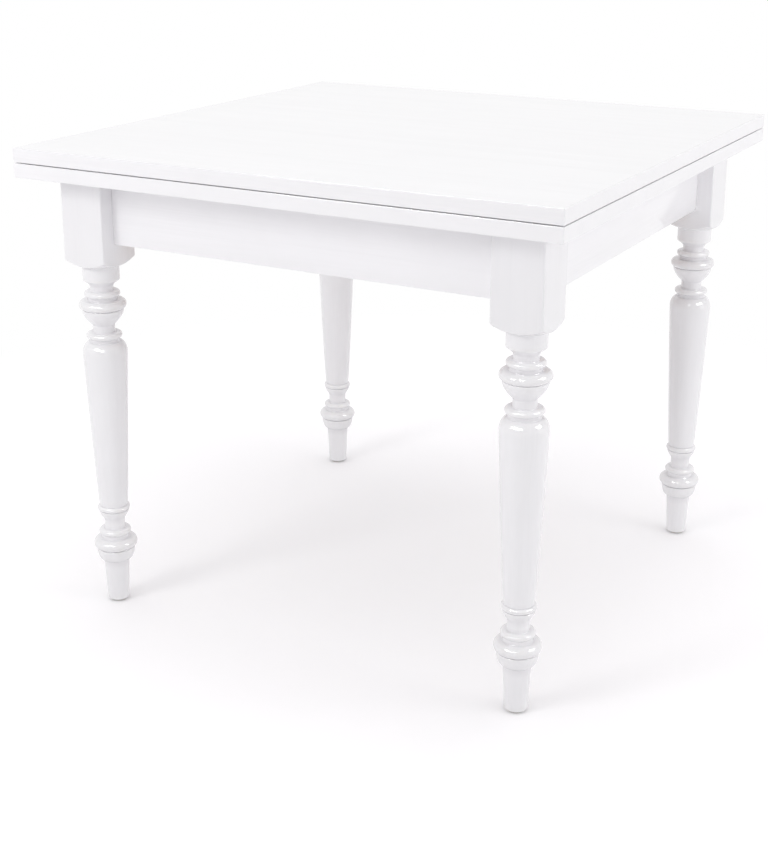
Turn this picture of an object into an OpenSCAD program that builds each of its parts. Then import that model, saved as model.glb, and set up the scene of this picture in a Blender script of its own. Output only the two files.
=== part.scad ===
// Flip-top table: a square top of two stacked leaves on a frame with four turned legs.
// The top slides forward by half its depth, then the upper leaf flips over to the rear.
// Origin: on the floor under the centre of the closed top. +X right, +Y rear, +Z up.

/* [Top] */
// Width of the top, left to right
top_w = 900; // [780:10:1100]
// Depth of the closed top, front to rear
top_d = 900; // [780:10:1100]
// Height of the top's face above the floor
table_h = 770; // [720:5:800]
// Thickness of each leaf
leaf_t = 22; // [18:0.5:28]
// Air between the stacked leaves
leaf_gap = 1.5; // [1.2:0.1:2.5]
// Width of the solid lipping round each leaf
lip_w = 10; // [6:1:14]
// Rounding along the outer edges of the leaves
lip_r = 1; // [0.5:0.5:4]

/* [Frame] */
// Overhang of the top past the leg blocks, left and right
overhang_x = 45; // [25:5:90]
// Overhang of the top past the leg blocks, front and rear
overhang_y = 50; // [25:5:90]
// Thickness of the aprons
apron_t = 20; // [18:1:25]
// Height of the aprons
apron_h = 104; // [92:1:112]
// How far the apron faces lie behind the faces of the leg blocks
apron_set = 27; // [12:1:30]
// Air between the frame and the leaves, in which the felt glides lie
frame_air = 2.5; // [1.5:0.1:4]
// Thickness of the tenons on the aprons
tenon_t = 10; // [8:1:12]
// Length of the tenons
tenon_l = 28; // [20:1:29]
// Shoulder above and below each tenon
tenon_shoulder = 15; // [8:1:20]
// Glue room round tenons and housed ends
glue_fit = 0.1; // [0.05:0.05:0.2]

/* [Corner blocks] */
// Reach of each corner block along the aprons, from the leg's axis
corner_l = 110; // [102:1:120]
// Blunt end of a corner block
corner_end = 8; // [5:1:12]
// Height of a corner block
corner_h = 70; // [56:1:76]
// Distance of a corner block below the top of the frame
corner_drop = 14; // [8:1:20]
// Radius of the hanger bolts
bolt_r = 4; // [3:0.5:5]
// Depth of a hanger bolt in the leg
bolt_grip = 32; // [20:1:36]
// Radius of the washers
washer_r = 9; // [8:0.5:11]
// Thickness of the washers
washer_t = 1.6; // [1:0.1:2.5]
// Height of the nuts
nut_h = 6.5; // [5:0.5:8]
// Nut size across its corners
nut_d = 15; // [13:0.5:17]
// Thread left free past the nuts
bolt_end = 5; // [2:1:8]
// Distance of a corner block's screws from its blunt ends
corner_screw_in = 24; // [20:1:30]
// Wood under the heads of those screws
corner_screw_seat = 16; // [12:1:18]
// Room round bolts and screws in their holes
hole_fit = 0.1; // [0.05:0.05:0.2]

/* [Square block of the leg] */
// Side of the square block
block_w = 78; // [74:1:88]
// Height of the block, with its turned shoulder
block_h = 143; // [130:1:148]
// Height of the turned shoulder at the block's corners
shoulder_h = 13; // [8:1:18]
// Bow of the turned shoulder: 1 gives a straight cone
shoulder_bow = 0.7; // [0.5:0.05:1]
// Bevel on the block's upright edges
block_bevel = 1.5; // [0.5:0.5:3]

/* [Turning under the block] */
// Radius of the collar
collar_r = 29; // [26:0.5:33]
// Height of the collar
collar_h = 23.5; // [22:0.5:34]
// Height of the cove between the collar and the neck
flare_h = 12; // [8:0.5:17]
// Radius of the neck over the rings
upper_neck_r = 18.2; // [16:0.1:22]
// Height of that neck
upper_neck_h = 6; // [4:0.5:13]
// Radius of the upper rings
upper_ring_r = 28.3; // [25:0.1:32]
// Height of the upper rings
upper_ring_h = 9.5; // [7:0.5:12]
// Radius of the large disc
disc_r = 37.5; // [33:0.5:39]
// Height of the large disc
disc_h = 15; // [12:0.5:17]
// Rim radius of the cup under the disc
cup_r = 33; // [30:0.5:36]
// Height of the cup
cup_h = 26; // [18:0.5:29]
// Radius of the waist under the cup
waist_r = 17.4; // [15:0.1:21]
// Height of the waist
waist_h = 12.5; // [8:0.5:16]
// Height of the fillets between rings
fillet_h = 5.5; // [3:0.5:7]
// Radius of the fillets between rings
fillet_r = 23.8; // [20:0.1:25]

/* [Vase of the leg] */
// Largest radius of the vase
vase_r = 35.5; // [32:0.5:39]
// Radius at the foot of the vase
vase_foot_r = 22.8; // [19:0.1:25]
// Height of the rounded shoulder on the vase
vase_round = 19; // [12:1:22]
// Swell of the vase: 1 gives a straight taper
vase_swell = 0.85; // [0.6:0.05:1.2]

/* [Foot of the leg] */
// Radius of the lower rings
lower_ring_r = 26.2; // [24:0.1:29]
// Height of the lower rings
lower_ring_h = 9.5; // [7:0.5:12]
// Height of the fillet over the large bead
lower_fillet_h = 6.5; // [4:0.5:8]
// Height of the ogee under the vase
ogee_h = 18; // [12:0.5:22]
// Largest radius of the ogee
ogee_r = 24.3; // [21:0.1:26]
// Radius of the lower neck
lower_neck_r = 16.7; // [14:0.1:20]
// Height of the lower neck
lower_neck_h = 14.5; // [8:0.5:18]
// Radius of the large bead
bead_r = 35.5; // [32:0.5:38]
// Height of the large bead
bead_h = 18; // [14:0.5:21]
// Rim radius of the bell under the bead
bell_r = 31; // [28:0.5:32]
// Radius at the bottom of the bell
bell_foot_r = 22; // [21.2:0.1:25]
// Height of the bell
bell_h = 21; // [16:1:25]
// Radius at the top of the peg foot
peg_top_r = 20.8; // [18:0.1:23]
// Radius at the bottom of the peg foot
peg_r = 17.4; // [15:0.1:20]
// Height of the peg foot
peg_h = 71; // [54:1:84]
// Bevel round the bottom of the peg foot
peg_bevel = 1; // [0.5:0.5:2]
// Radius of the glide under each foot
glide_r = 13; // [10:0.5:14.5]
// Thickness of the glide
glide_t = 4; // [2:0.5:6]
// Radius of the glide's pin
glide_pin_r = 2.5; // [1.5:0.5:3.5]
// Length of the glide's pin
glide_pin_l = 14; // [10:1:20]

/* [Slide] */
// Air between the guides and the corner blocks
guide_air = 17; // [4:1:30]
// Width of the guides
guide_w = 30; // [26:1:34]
// Height of the guides
guide_h = 40; // [36:1:48]
// Depth to which the guides' ends are let into the aprons
guide_let = 8; // [5:1:10]
// Depth of the groove
groove_d = 12; // [8:1:14]
// Height of the groove
groove_h = 12.8; // [10:0.2:16]
// Wood above the groove
groove_drop = 12; // [10:1:15]
// Running room of the runners in the grooves
slide_fit = 0.4; // [0.3:0.05:0.6]
// Width of a runner under the leaf
runner_w = 20; // [16:1:26]
// Wood of a runner below its tongue
runner_foot = 4; // [3:0.5:6]
// Wood of a runner over the heads of its screws
runner_seat = 14; // [10:1:16]
// Distance of the outer screws from a runner's ends
runner_screw_in = 30; // [20:1:40]
// Thickness of the rubber stops at the ends of the travel
stop_t = 2.7; // [2:0.1:5]
// Running gap between moving pieces and what they come to rest on
rest_gap = 0.3; // [0.3:0.05:0.5]
// Width of the felt glides on the frame
felt_w = 12; // [8:1:16]
// Distance of the felt's ends from the leg blocks
felt_end = 10; // [4:1:30]

/* [Hinges] */
// Distance of the outer hinges from the sides of the top
hinge_in = 130; // [105:5:190]
// Length of a hinge
hinge_l = 60; // [50:1:80]
// Width of a hinge plate, from the hinge's axis
plate_w = 24; // [22:1:30]
// Thickness of the hinge plates
plate_t = 2; // [1.5:0.1:2.5]
// Radius of the knuckles
knuckle_r = 3; // [2.8:0.1:3.5]
// Gap between neighbouring knuckles
knuckle_gap = 0.4; // [0.3:0.05:0.6]
// Distance of the hinge axis behind the leaves' rear edges
axis_out = 0.5; // [0.4:0.05:0.8]
// Radius of the hinge pins
pin_r = 1.4; // [1.2:0.05:1.6]
// Running room of the pins in the knuckles
pin_fit = 0.05; // [0.02:0.01:0.08]
// Radius of the pins' heads
pin_head_r = 2.6; // [2.2:0.1:2.8]
// Thickness of the pins' heads
pin_head_t = 1.2; // [0.8:0.1:2]
// Room round the knuckles in the leaves' rear edges
notch_fit = 0.4; // [0.3:0.05:0.6]
// Radius of the hinge screws
hinge_screw_r = 1.5; // [1.2:0.1:1.8]
// Length of the hinge screws
hinge_screw_l = 14; // [10:1:16]
// Radius of the hinge screws' flat heads
hinge_head_r = 3; // [2.6:0.1:3.4]
// Distance of the hinge screws from the axis
hinge_screw_y = 16; // [14:0.5:18]
// Distance between neighbouring hinge screws
hinge_screw_x = 20; // [15:1:22]

/* [Small parts] */
// Radius of the wood screws
screw_r = 2.2; // [1.8:0.1:2.8]
// Radius of the wood screws' heads
screw_head_r = 4.2; // [3.8:0.1:4.8]
// Height of the wood screws' heads
screw_head_h = 2.6; // [2:0.1:3.2]
// Room round the wood screws' heads in their counterbores
head_room = 1; // [0.5:0.5:1.5]
// Bite of the wood screws in the piece that they hold on to
screw_bite = 14; // [10:1:16]
// Radius of the buffer discs between the leaves
buffer_r = 5; // [4:0.5:8]
// Distance of the buffer discs from the leaves' edges
buffer_in = 40; // [25:5:80]

/* [Hidden] */
$fn = 48;

base_w = top_w - 2 * overhang_x;
base_d = top_d - 2 * overhang_y;
leg_x = base_w / 2 - block_w / 2;
leg_y = base_d / 2 - block_w / 2;
leaf_z = table_h - 2 * leaf_t - leaf_gap;
lower_face_z = leaf_z + leaf_t;
upper_face_z = lower_face_z + leaf_gap;
frame_z = leaf_z - frame_air;

// Aprons, measured from the leg's axis
apron_out = apron_set - block_w / 2;
apron_in = apron_out + apron_t;
apron_mid = (apron_out + apron_in) / 2;
apron_z = frame_z - apron_h;
inner_d = 2 * (leg_y - apron_in);
corner_z = frame_z - corner_drop - corner_h;
bolt_z = corner_z + corner_h / 2;
corner_face = (corner_l + apron_in + corner_end) / sqrt(2);
leg_corner = (block_w - block_bevel) / sqrt(2);
corner_screw_z = corner_h / 4;

// Turning, from the floor up to the vase
peg_z = glide_t + peg_h;
bell_z = peg_z + bell_h;
bead_z = bell_z + bead_h;
low_ring_z = bead_z + lower_fillet_h + lower_ring_h;
low_neck_z = low_ring_z + lower_neck_h;
ogee_z = low_neck_z + ogee_h;
vase_z = ogee_z + lower_ring_h;

// Turning, from the block down to the vase
block_z = frame_z - block_h;
collar_z = block_z - collar_h;
flare_z = collar_z - flare_h;
neck_z = flare_z - upper_neck_h;
ring_z = neck_z - upper_ring_h;
disc_z = ring_z - fillet_h - disc_h;
cup_z = disc_z - cup_h;
vase_ring_z = cup_z - waist_h - upper_ring_h;
vase_top = vase_ring_z - fillet_h;
block_core = block_w / sqrt(2) + 1;

// Slide
travel = top_d / 2;
guide_in = leg_x - corner_l - guide_air - guide_w;
guide_z = frame_z - guide_h;
groove_z = frame_z - groove_drop - groove_h;
runner_z = groove_z - runner_foot;
runner_h = leaf_z - runner_z;
runner_l = inner_d - 2 * (stop_t + rest_gap) - travel;
runner_y = inner_d / 2 - stop_t - rest_gap - runner_l;
runner_in = guide_in - slide_fit - runner_w;

// Hinges
hinge_x = top_w / 2 - hinge_in;
axis_y = top_d / 2 + axis_out;
axis_z = (lower_face_z + upper_face_z) / 2;
knuckles = 5;
knuckle_l = hinge_l / knuckles;
notch_l = hinge_l + 2 * (pin_head_t + notch_fit);

LEFT = -1;
RIGHT = 1;
FRONT = -1;
REAR = 1;

// Places children drawn for the front left corner at another corner. Their origin is the
// leg's axis on the floor, and +X and +Y point along the aprons.
module at_corner(side, end) {
  translate([side * leg_x, end * leg_y, 0])
    mirror([side > 0 ? 1 : 0, 0, 0])
      mirror([0, end > 0 ? 1 : 0, 0])
        children();
}

module at_corners() {
  for (side = [LEFT, RIGHT])
    for (end = [FRONT, REAR])
      at_corner(side, end) children();
}

// Turns children drawn along +Z so that they point from the leg's axis to the room
// between the two aprons.
module along_diagonal(z) {
  translate([0, 0, z]) rotate([0, 0, 45]) rotate([0, 90, 0]) children();
}

// Swaps the two aprons of a corner
module swap_aprons() {
  mirror([1, -1, 0]) children();
}

// Half outline of a round ring whose rim is a half circle
module ring2d(z, r, h) {
  translate([0, z]) square([r - h / 2, h]);
  translate([r - h / 2, z + h / 2]) circle(d = h, $fn = 32);
}

// Half outline of a stretch that goes from one radius to another by a formula of 0 to 1
function bend(z, h, r0, r1, shape) =
  [for (i = [0 : 10]) [r0 + (r1 - r0) * shape[i], z + h * i / 10]];

module bend2d(z, h, r0, r1, shape) {
  polygon(concat([[0, z]], bend(z, h, r0, r1, shape), [[0, z + h]]));
}

COVE = [for (i = [0 : 10]) 1 - cos(9 * i)];
BOWL = [for (i = [0 : 10]) sin(9 * i)];
OGEE = [for (i = [0 : 10]) (1 - cos(18 * i)) / 2];
SWELL = [for (i = [0 : 10]) pow(i / 10, vase_swell)];
SHOULDER = [for (i = [0 : 10]) pow(i / 10, shoulder_bow)];
DOME = [for (i = [0 : 10]) sqrt(1 - pow(1 - i / 10, 2))];
DOME_DOWN = [for (i = [0 : 10]) 1 - sqrt(1 - pow(i / 10, 2))];

module foot2d() {
  polygon([[0, glide_t], [peg_r - peg_bevel, glide_t], [peg_r, glide_t + peg_bevel],
    [peg_top_r, peg_z], [0, peg_z]]);
  bend2d(peg_z, bell_h, bell_foot_r, bell_r, DOME);
  ring2d(bell_z, bead_r, bead_h);
  translate([0, bead_z]) square([vase_foot_r, lower_fillet_h]);
  ring2d(bead_z + lower_fillet_h, lower_ring_r, lower_ring_h);
  translate([0, low_ring_z]) square([lower_neck_r, lower_neck_h]);
  bend2d(low_neck_z, ogee_h, lower_neck_r, ogee_r, OGEE);
  ring2d(ogee_z, lower_ring_r, lower_ring_h);
}

module vase2d() {
  taper_h = vase_top - vase_round - vase_z;
  bend2d(vase_z, taper_h, vase_foot_r, vase_r, SWELL);
  bend2d(vase_top - vase_round, vase_round, vase_r, fillet_r, DOME_DOWN);
}

module head2d() {
  translate([0, vase_top]) square([fillet_r, fillet_h]);
  ring2d(vase_ring_z, upper_ring_r, upper_ring_h);
  translate([0, vase_ring_z + upper_ring_h]) square([waist_r, waist_h]);
  bend2d(cup_z, cup_h, waist_r, cup_r, BOWL);
  ring2d(disc_z, disc_r, disc_h);
  translate([0, disc_z + disc_h]) square([fillet_r, fillet_h]);
  ring2d(ring_z, upper_ring_r, upper_ring_h);
  translate([0, neck_z]) square([upper_neck_r, upper_neck_h]);
  bend2d(flare_z, flare_h, upper_neck_r, collar_r, COVE);
  translate([0, collar_z]) square([collar_r, collar_h]);
}

module block_plan() {
  difference() {
    square(block_w, center = true);
    for (turn = [0 : 3])
      rotate(45 + 90 * turn) translate([leg_corner, -block_w / 2]) square(block_w);
  }
}

// Square block, whose lower end is turned to a shallow dome on the lathe
module block() {
  intersection() {
    translate([0, 0, block_z]) linear_extrude(block_h) block_plan();
    rotate_extrude() union() {
      bend2d(block_z, shoulder_h, collar_r, block_core, SHOULDER);
      translate([0, block_z + shoulder_h]) square([block_core, block_h]);
    }
  }
}

// Tenon of the apron along +X. With a fit it is the mortise, deeper by the same glue room.
module tenon(fit) {
  reach = fit > 0 ? 1 : 0;
  translate([block_w / 2 - tenon_l - fit, apron_mid - tenon_t / 2 - fit, apron_z + tenon_shoulder - fit])
    cube([tenon_l + fit + reach, tenon_t + 2 * fit, apron_h - 2 * tenon_shoulder + 2 * fit]);
}

module leg(side, end) {
  color("white") at_corner(side, end) difference() {
    union() {
      rotate_extrude() union() {
        foot2d();
        vase2d();
        head2d();
      }
      block();
    }
    tenon(glue_fit);
    swap_aprons() tenon(glue_fit);
    along_diagonal(bolt_z)
      translate([0, 0, leg_corner - bolt_grip - hole_fit])
        cylinder(r = bolt_r + hole_fit, h = bolt_grip + block_bevel + 1);
    translate([0, 0, glide_t - 1])
      cylinder(r = glide_pin_r + hole_fit, h = glide_pin_l + hole_fit + 1);
  }
}

// Wood screw that points along +Z, its head's underside at the origin
module wood_screw(length) {
  cylinder(r = screw_r, h = length);
  translate([0, 0, -screw_head_h]) cylinder(r = screw_head_r, h = screw_head_h);
}

module wood_screw_hole(length) {
  translate([0, 0, -1]) cylinder(r = screw_r + hole_fit, h = length + hole_fit + 1);
}

// Screws of a corner block that bite in the apron along +X
module at_corner_screws() {
  for (level = [-1, 1])
    translate([corner_l - corner_screw_in, apron_in + corner_screw_seat, bolt_z + level * corner_screw_z])
      rotate([90, 0, 0]) children();
}

// Housing for the end of a guide in the apron along X, drawn for the front right quarter
module guide_housing() {
  translate([guide_in - glue_fit, apron_in - leg_y - guide_let, guide_z - glue_fit])
    cube([guide_w + 2 * glue_fit, guide_let + 1, guide_h + glue_fit + 1]);
}

module apron_x(end) {
  length = 2 * (leg_x - block_w / 2);
  color("white") difference() {
    union() {
      mirror([0, end > 0 ? 1 : 0, 0])
        translate([-length / 2, apron_out - leg_y, apron_z]) cube([length, apron_t, apron_h]);
      for (side = [LEFT, RIGHT]) at_corner(side, end) tenon(0);
    }
    for (side = [LEFT, RIGHT]) {
      at_corner(side, end) at_corner_screws() wood_screw_hole(corner_screw_seat + screw_bite);
      mirror([side < 0 ? 1 : 0, 0, 0]) mirror([0, end > 0 ? 1 : 0, 0]) guide_housing();
    }
  }
}

module apron_y(side) {
  length = 2 * (leg_y - block_w / 2);
  color("white") difference() {
    union() {
      mirror([side > 0 ? 1 : 0, 0, 0])
        translate([apron_out - leg_x, -length / 2, apron_z]) cube([apron_t, length, apron_h]);
      for (end = [FRONT, REAR]) at_corner(side, end) swap_aprons() tenon(0);
    }
    for (end = [FRONT, REAR])
      at_corner(side, end) swap_aprons() at_corner_screws() wood_screw_hole(corner_screw_seat + screw_bite);
  }
}

// Hardwood block in the corner of the frame, notched round the leg
module corner_block(side, end) {
  far = apron_in + corner_end;
  half = block_w / 2;
  color("burlywood") at_corner(side, end) difference() {
    translate([0, 0, corner_z]) linear_extrude(corner_h)
      polygon([[half, apron_in], [corner_l, apron_in], [corner_l, far], [far, corner_l],
        [apron_in, corner_l], [apron_in, half], [half, half]]);
    along_diagonal(bolt_z) cylinder(r = bolt_r + hole_fit, h = corner_face + 1);
    for (swapped = [0, 1])
      mirror([swapped, -swapped, 0]) at_corner_screws() {
        wood_screw_hole(corner_screw_seat + 1);
        translate([0, 0, -corner_l]) cylinder(r = screw_head_r + head_room, h = corner_l);
      }
  }
}

module hanger_bolts() {
  color("silver") at_corners() along_diagonal(bolt_z)
    translate([0, 0, leg_corner - bolt_grip])
      cylinder(r = bolt_r, h = corner_face - leg_corner + bolt_grip + washer_t + nut_h + bolt_end);
}

module hanger_washers() {
  color("silver") at_corners() along_diagonal(bolt_z) translate([0, 0, corner_face]) difference() {
    cylinder(r = washer_r, h = washer_t);
    translate([0, 0, -1]) cylinder(r = bolt_r + 2 * hole_fit, h = washer_t + 2);
  }
}

module hanger_nuts() {
  color("silver") at_corners() along_diagonal(bolt_z)
    translate([0, 0, corner_face + washer_t]) difference() {
      cylinder(d = nut_d, h = nut_h, $fn = 6);
      translate([0, 0, -1]) cylinder(r = bolt_r + hole_fit, h = nut_h + 2);
    }
}

module corner_screws() {
  color("silver") at_corners() for (swapped = [0, 1])
    mirror([swapped, -swapped, 0]) at_corner_screws() wood_screw(corner_screw_seat + screw_bite);
}

module foot_glides() {
  color("gainsboro") at_corners() {
    cylinder(r = glide_r, h = glide_t);
    cylinder(r = glide_pin_r, h = glide_t + glide_pin_l);
  }
}

// Fixed guide, grooved along the face that looks to the middle
module guide(side) {
  color("burlywood") mirror([side < 0 ? 1 : 0, 0, 0])
    rotate([90, 0, 0]) linear_extrude(inner_d + 2 * guide_let, center = true) difference() {
      translate([guide_in, guide_z]) square([guide_w, guide_h]);
      translate([guide_in - 1, groove_z]) square([groove_d + 1, groove_h]);
    }
}

// Rubber pads on the front and rear aprons, which the runners meet at the ends of the travel
module slide_stops() {
  color("dimgray") for (side = [LEFT, RIGHT], end = [FRONT, REAR])
    mirror([side < 0 ? 1 : 0, 0, 0]) mirror([0, end > 0 ? 1 : 0, 0])
      translate([runner_in, -inner_d / 2, runner_z]) cube([runner_w, stop_t, frame_z - runner_z]);
}

module felt(side) {
  length = 2 * (leg_y - block_w / 2 - felt_end);
  color("gray") mirror([side > 0 ? 1 : 0, 0, 0])
    translate([apron_mid - leg_x - felt_w / 2, -length / 2, frame_z])
      cube([felt_w, length, frame_air - rest_gap]);
}

module at_hinges() {
  for (place = [-1 : 1]) translate([place * hinge_x, axis_y, axis_z]) children();
}

module at_hinge_screws() {
  for (place = [-1 : 1]) translate([place * hinge_screw_x, -hinge_screw_y, -leaf_gap / 2]) children();
}

// Flat-headed screw that points along -Z, its head's face at the origin
module hinge_screw(fit) {
  head_h = hinge_head_r - hinge_screw_r;
  translate([0, 0, -head_h]) cylinder(r1 = hinge_screw_r + fit, r2 = hinge_head_r + fit, h = head_h);
  translate([0, 0, -hinge_screw_l - fit])
    cylinder(r = hinge_screw_r + fit, h = hinge_screw_l + fit - head_h / 2);
}

module along_axis(length, radius) {
  rotate([0, 90, 0]) cylinder(r = radius, h = length, center = true);
}

// Half of a hinge, below its axis. Every other knuckle is its own, counted from the left.
module hinge_half(first) {
  difference() {
    union() {
      difference() {
        translate([-hinge_l / 2, -plate_w, -leaf_gap / 2 - plate_t]) cube([hinge_l, plate_w, plate_t]);
        for (k = [1 - first : 2 : knuckles - 1])
          translate([knuckle_l * (k - (knuckles - 1) / 2), 0, 0])
            along_axis(knuckle_l + knuckle_gap, knuckle_r + notch_fit);
      }
      for (k = [first : 2 : knuckles - 1])
        translate([knuckle_l * (k - (knuckles - 1) / 2), 0, 0])
          along_axis(knuckle_l - knuckle_gap, knuckle_r);
    }
    along_axis(hinge_l + 2, pin_r + pin_fit);
    at_hinge_screws() hinge_screw(hole_fit);
  }
}

module lower_hinges() {
  color("goldenrod") at_hinges() hinge_half(0);
}

module upper_hinges() {
  color("goldenrod") at_hinges() mirror([0, 0, 1]) hinge_half(1);
}

module hinge_pins() {
  color("goldenrod") at_hinges() {
    along_axis(hinge_l, pin_r);
    for (place = [-1, 1])
      translate([place * (hinge_l + pin_head_t) / 2, 0, 0]) along_axis(pin_head_t, pin_head_r);
  }
}

module lower_hinge_screws() {
  color("goldenrod") at_hinges() at_hinge_screws() hinge_screw(0);
}

module upper_hinge_screws() {
  color("goldenrod") at_hinges() mirror([0, 0, 1]) at_hinge_screws() hinge_screw(0);
}

// What a hinge takes out of the leaf below its axis
module hinge_recess() {
  translate([-hinge_l / 2 - glue_fit, -plate_w - glue_fit, -leaf_gap / 2 - plate_t])
    cube([hinge_l + 2 * glue_fit, plate_w + glue_fit + 1, plate_t + 1]);
  along_axis(notch_l, knuckle_r + notch_fit);
  at_hinge_screws() hinge_screw(hole_fit);
}

// Board inside the lipping of a leaf, its underside on the floor
module core() {
  width = top_w - 2 * lip_w;
  depth = top_d - 2 * lip_w;
  translate([-width / 2, -depth / 2, 0]) cube([width, depth, leaf_t]);
}

// Mitred strip of lipping along X, its outer face at y = 0, short of its neighbours by half
// the glue room at each mitre
module lip_strip(length) {
  tip = length / 2 - glue_fit / sqrt(2);
  intersection() {
    rotate([90, 0, 90]) linear_extrude(length, center = true) union() {
      translate([lip_r, 0]) square([lip_w - lip_r, leaf_t]);
      translate([0, lip_r]) square([lip_w, leaf_t - 2 * lip_r]);
      for (z = [lip_r, leaf_t - lip_r]) translate([lip_r, z]) circle(lip_r);
    }
    linear_extrude(leaf_t)
      polygon([[-tip, 0], [tip, 0], [tip - lip_w, lip_w], [lip_w - tip, lip_w]]);
  }
}

module lipping() {
  for (turn = [0, 180]) {
    rotate([0, 0, turn]) translate([0, -top_d / 2, 0]) lip_strip(top_w);
    rotate([0, 0, turn - 90]) translate([0, -top_w / 2, 0]) lip_strip(top_d);
  }
}

module at_runner_screws(side) {
  reach = runner_l / 2 - runner_screw_in;
  screw_x = side * (runner_in + runner_w / 2);
  for (place = [-1 : 1])
    translate([screw_x, runner_y + runner_l / 2 + place * reach, leaf_z - runner_seat]) children();
}

module lower_leaf() {
  color("white") difference() {
    translate([0, 0, leaf_z]) core();
    at_hinges() hinge_recess();
    for (side = [LEFT, RIGHT]) at_runner_screws(side) wood_screw_hole(runner_seat + screw_bite);
  }
}

module lower_lipping() {
  color("white") difference() {
    translate([0, 0, leaf_z]) lipping();
    at_hinges() hinge_recess();
  }
}

module upper_leaf() {
  color("white") difference() {
    translate([0, 0, upper_face_z]) core();
    at_hinges() mirror([0, 0, 1]) hinge_recess();
  }
}

module upper_lipping() {
  color("white") difference() {
    translate([0, 0, upper_face_z]) lipping();
    at_hinges() mirror([0, 0, 1]) hinge_recess();
  }
}

// Runner under the lower leaf, whose tongue runs in the groove of a guide
module runner(side) {
  color("burlywood") difference() {
    mirror([side < 0 ? 1 : 0, 0, 0]) translate([0, runner_y + runner_l, 0])
      rotate([90, 0, 0]) linear_extrude(runner_l) union() {
        translate([runner_in, runner_z]) square([runner_w, runner_h]);
        translate([runner_in, groove_z + slide_fit])
          square([runner_w + groove_d, groove_h - 2 * slide_fit]);
      }
    at_runner_screws(side) {
      wood_screw_hole(runner_seat + 1);
      translate([0, 0, -runner_h]) cylinder(r = screw_head_r + head_room, h = runner_h);
    }
  }
}

module runner_screws() {
  color("silver") for (side = [LEFT, RIGHT]) at_runner_screws(side) wood_screw(runner_seat + screw_bite);
}

module leaf_buffers() {
  color("whitesmoke") for (side = [LEFT, RIGHT], end = [FRONT, REAR])
    translate([side * (top_w / 2 - buffer_in), end * (top_d / 2 - buffer_in), lower_face_z])
      cylinder(r = buffer_r, h = leaf_gap - rest_gap);
}

leg(LEFT, FRONT);  // leg_front_left
leg(RIGHT, FRONT);  // leg_front_right
leg(LEFT, REAR);  // leg_rear_left
leg(RIGHT, REAR);  // leg_rear_right
apron_x(FRONT);  // apron_front
apron_x(REAR);  // apron_rear
apron_y(LEFT);  // apron_left
apron_y(RIGHT);  // apron_right
corner_block(LEFT, FRONT);  // corner_block_front_left
corner_block(RIGHT, FRONT);  // corner_block_front_right
corner_block(LEFT, REAR);  // corner_block_rear_left
corner_block(RIGHT, REAR);  // corner_block_rear_right
hanger_bolts();
hanger_washers();
hanger_nuts();
corner_screws();
foot_glides();
guide(LEFT);  // guide_left
guide(RIGHT);  // guide_right
slide_stops();
felt(LEFT);  // felt_left
felt(RIGHT);  // felt_right
lower_leaf();
lower_lipping();
runner(LEFT);  // runner_left
runner(RIGHT);  // runner_right
runner_screws();
lower_hinges();
hinge_pins();
lower_hinge_screws();
leaf_buffers();
upper_leaf();
upper_lipping();
upper_hinges();
upper_hinge_screws();
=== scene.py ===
"""Flip-top table: the finish of each piece, with the floor, the light and the camera round it."""

import math

import bmesh
import bpy
import numpy as np
from bpy.props import FloatProperty, FloatVectorProperty, PointerProperty
from mathutils import Matrix, Vector


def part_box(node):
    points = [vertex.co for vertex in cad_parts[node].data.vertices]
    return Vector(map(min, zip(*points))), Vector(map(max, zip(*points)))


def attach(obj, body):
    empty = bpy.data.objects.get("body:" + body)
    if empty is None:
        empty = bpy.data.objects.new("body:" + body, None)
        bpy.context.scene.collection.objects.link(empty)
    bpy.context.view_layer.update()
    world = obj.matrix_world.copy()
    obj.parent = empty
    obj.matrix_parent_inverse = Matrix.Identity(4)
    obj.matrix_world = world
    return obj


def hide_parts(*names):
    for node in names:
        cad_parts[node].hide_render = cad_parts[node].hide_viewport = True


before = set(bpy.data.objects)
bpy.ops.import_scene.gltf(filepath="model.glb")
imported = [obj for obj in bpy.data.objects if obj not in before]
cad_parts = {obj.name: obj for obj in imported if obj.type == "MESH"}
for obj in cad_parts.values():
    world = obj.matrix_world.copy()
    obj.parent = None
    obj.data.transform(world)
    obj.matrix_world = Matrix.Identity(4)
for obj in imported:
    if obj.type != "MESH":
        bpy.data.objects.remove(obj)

bl_info = {
    "name": "Flip-top table",
    "version": (1, 0, 0),
    "blender": (4, 5, 0),
    "location": "3D View > Sidebar > Table",
    "description": "Turned legs, lacquered boards, fittings and the studio of a flip-top table",
    "category": "Object",
}

MM = 0.001
CORNERS = ("front_left", "front_right", "rear_left", "rear_right")
CORNER_SIGNS = np.array([(-1, -1, 0), (1, -1, 0), (-1, 1, 0), (1, 1, 0)])
SIDES = ("front", "rear", "left", "right")
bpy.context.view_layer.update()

# Noise lies mostly from 0.3 to 0.7. These are the parts of it that are spread over 0 to 1
WHOLE = {"From Min": 0.3, "From Max": 0.7}
MIDDLE = {"From Min": 0.35, "From Max": 0.65}
UPPER = {"From Min": 0.4, "From Max": 0.7}
HIGHEST = {"From Min": 0.5, "From Max": 0.75}
# How ragged the noise is for wood fibres and drawn lines, and for blots
FIBROUS = {"Detail": 3, "Roughness": 0.6}
BLOTCHY = {"Detail": 4, "Roughness": 0.6}
DUSTY = 0.85  # the tone of white plastic under dust

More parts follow.
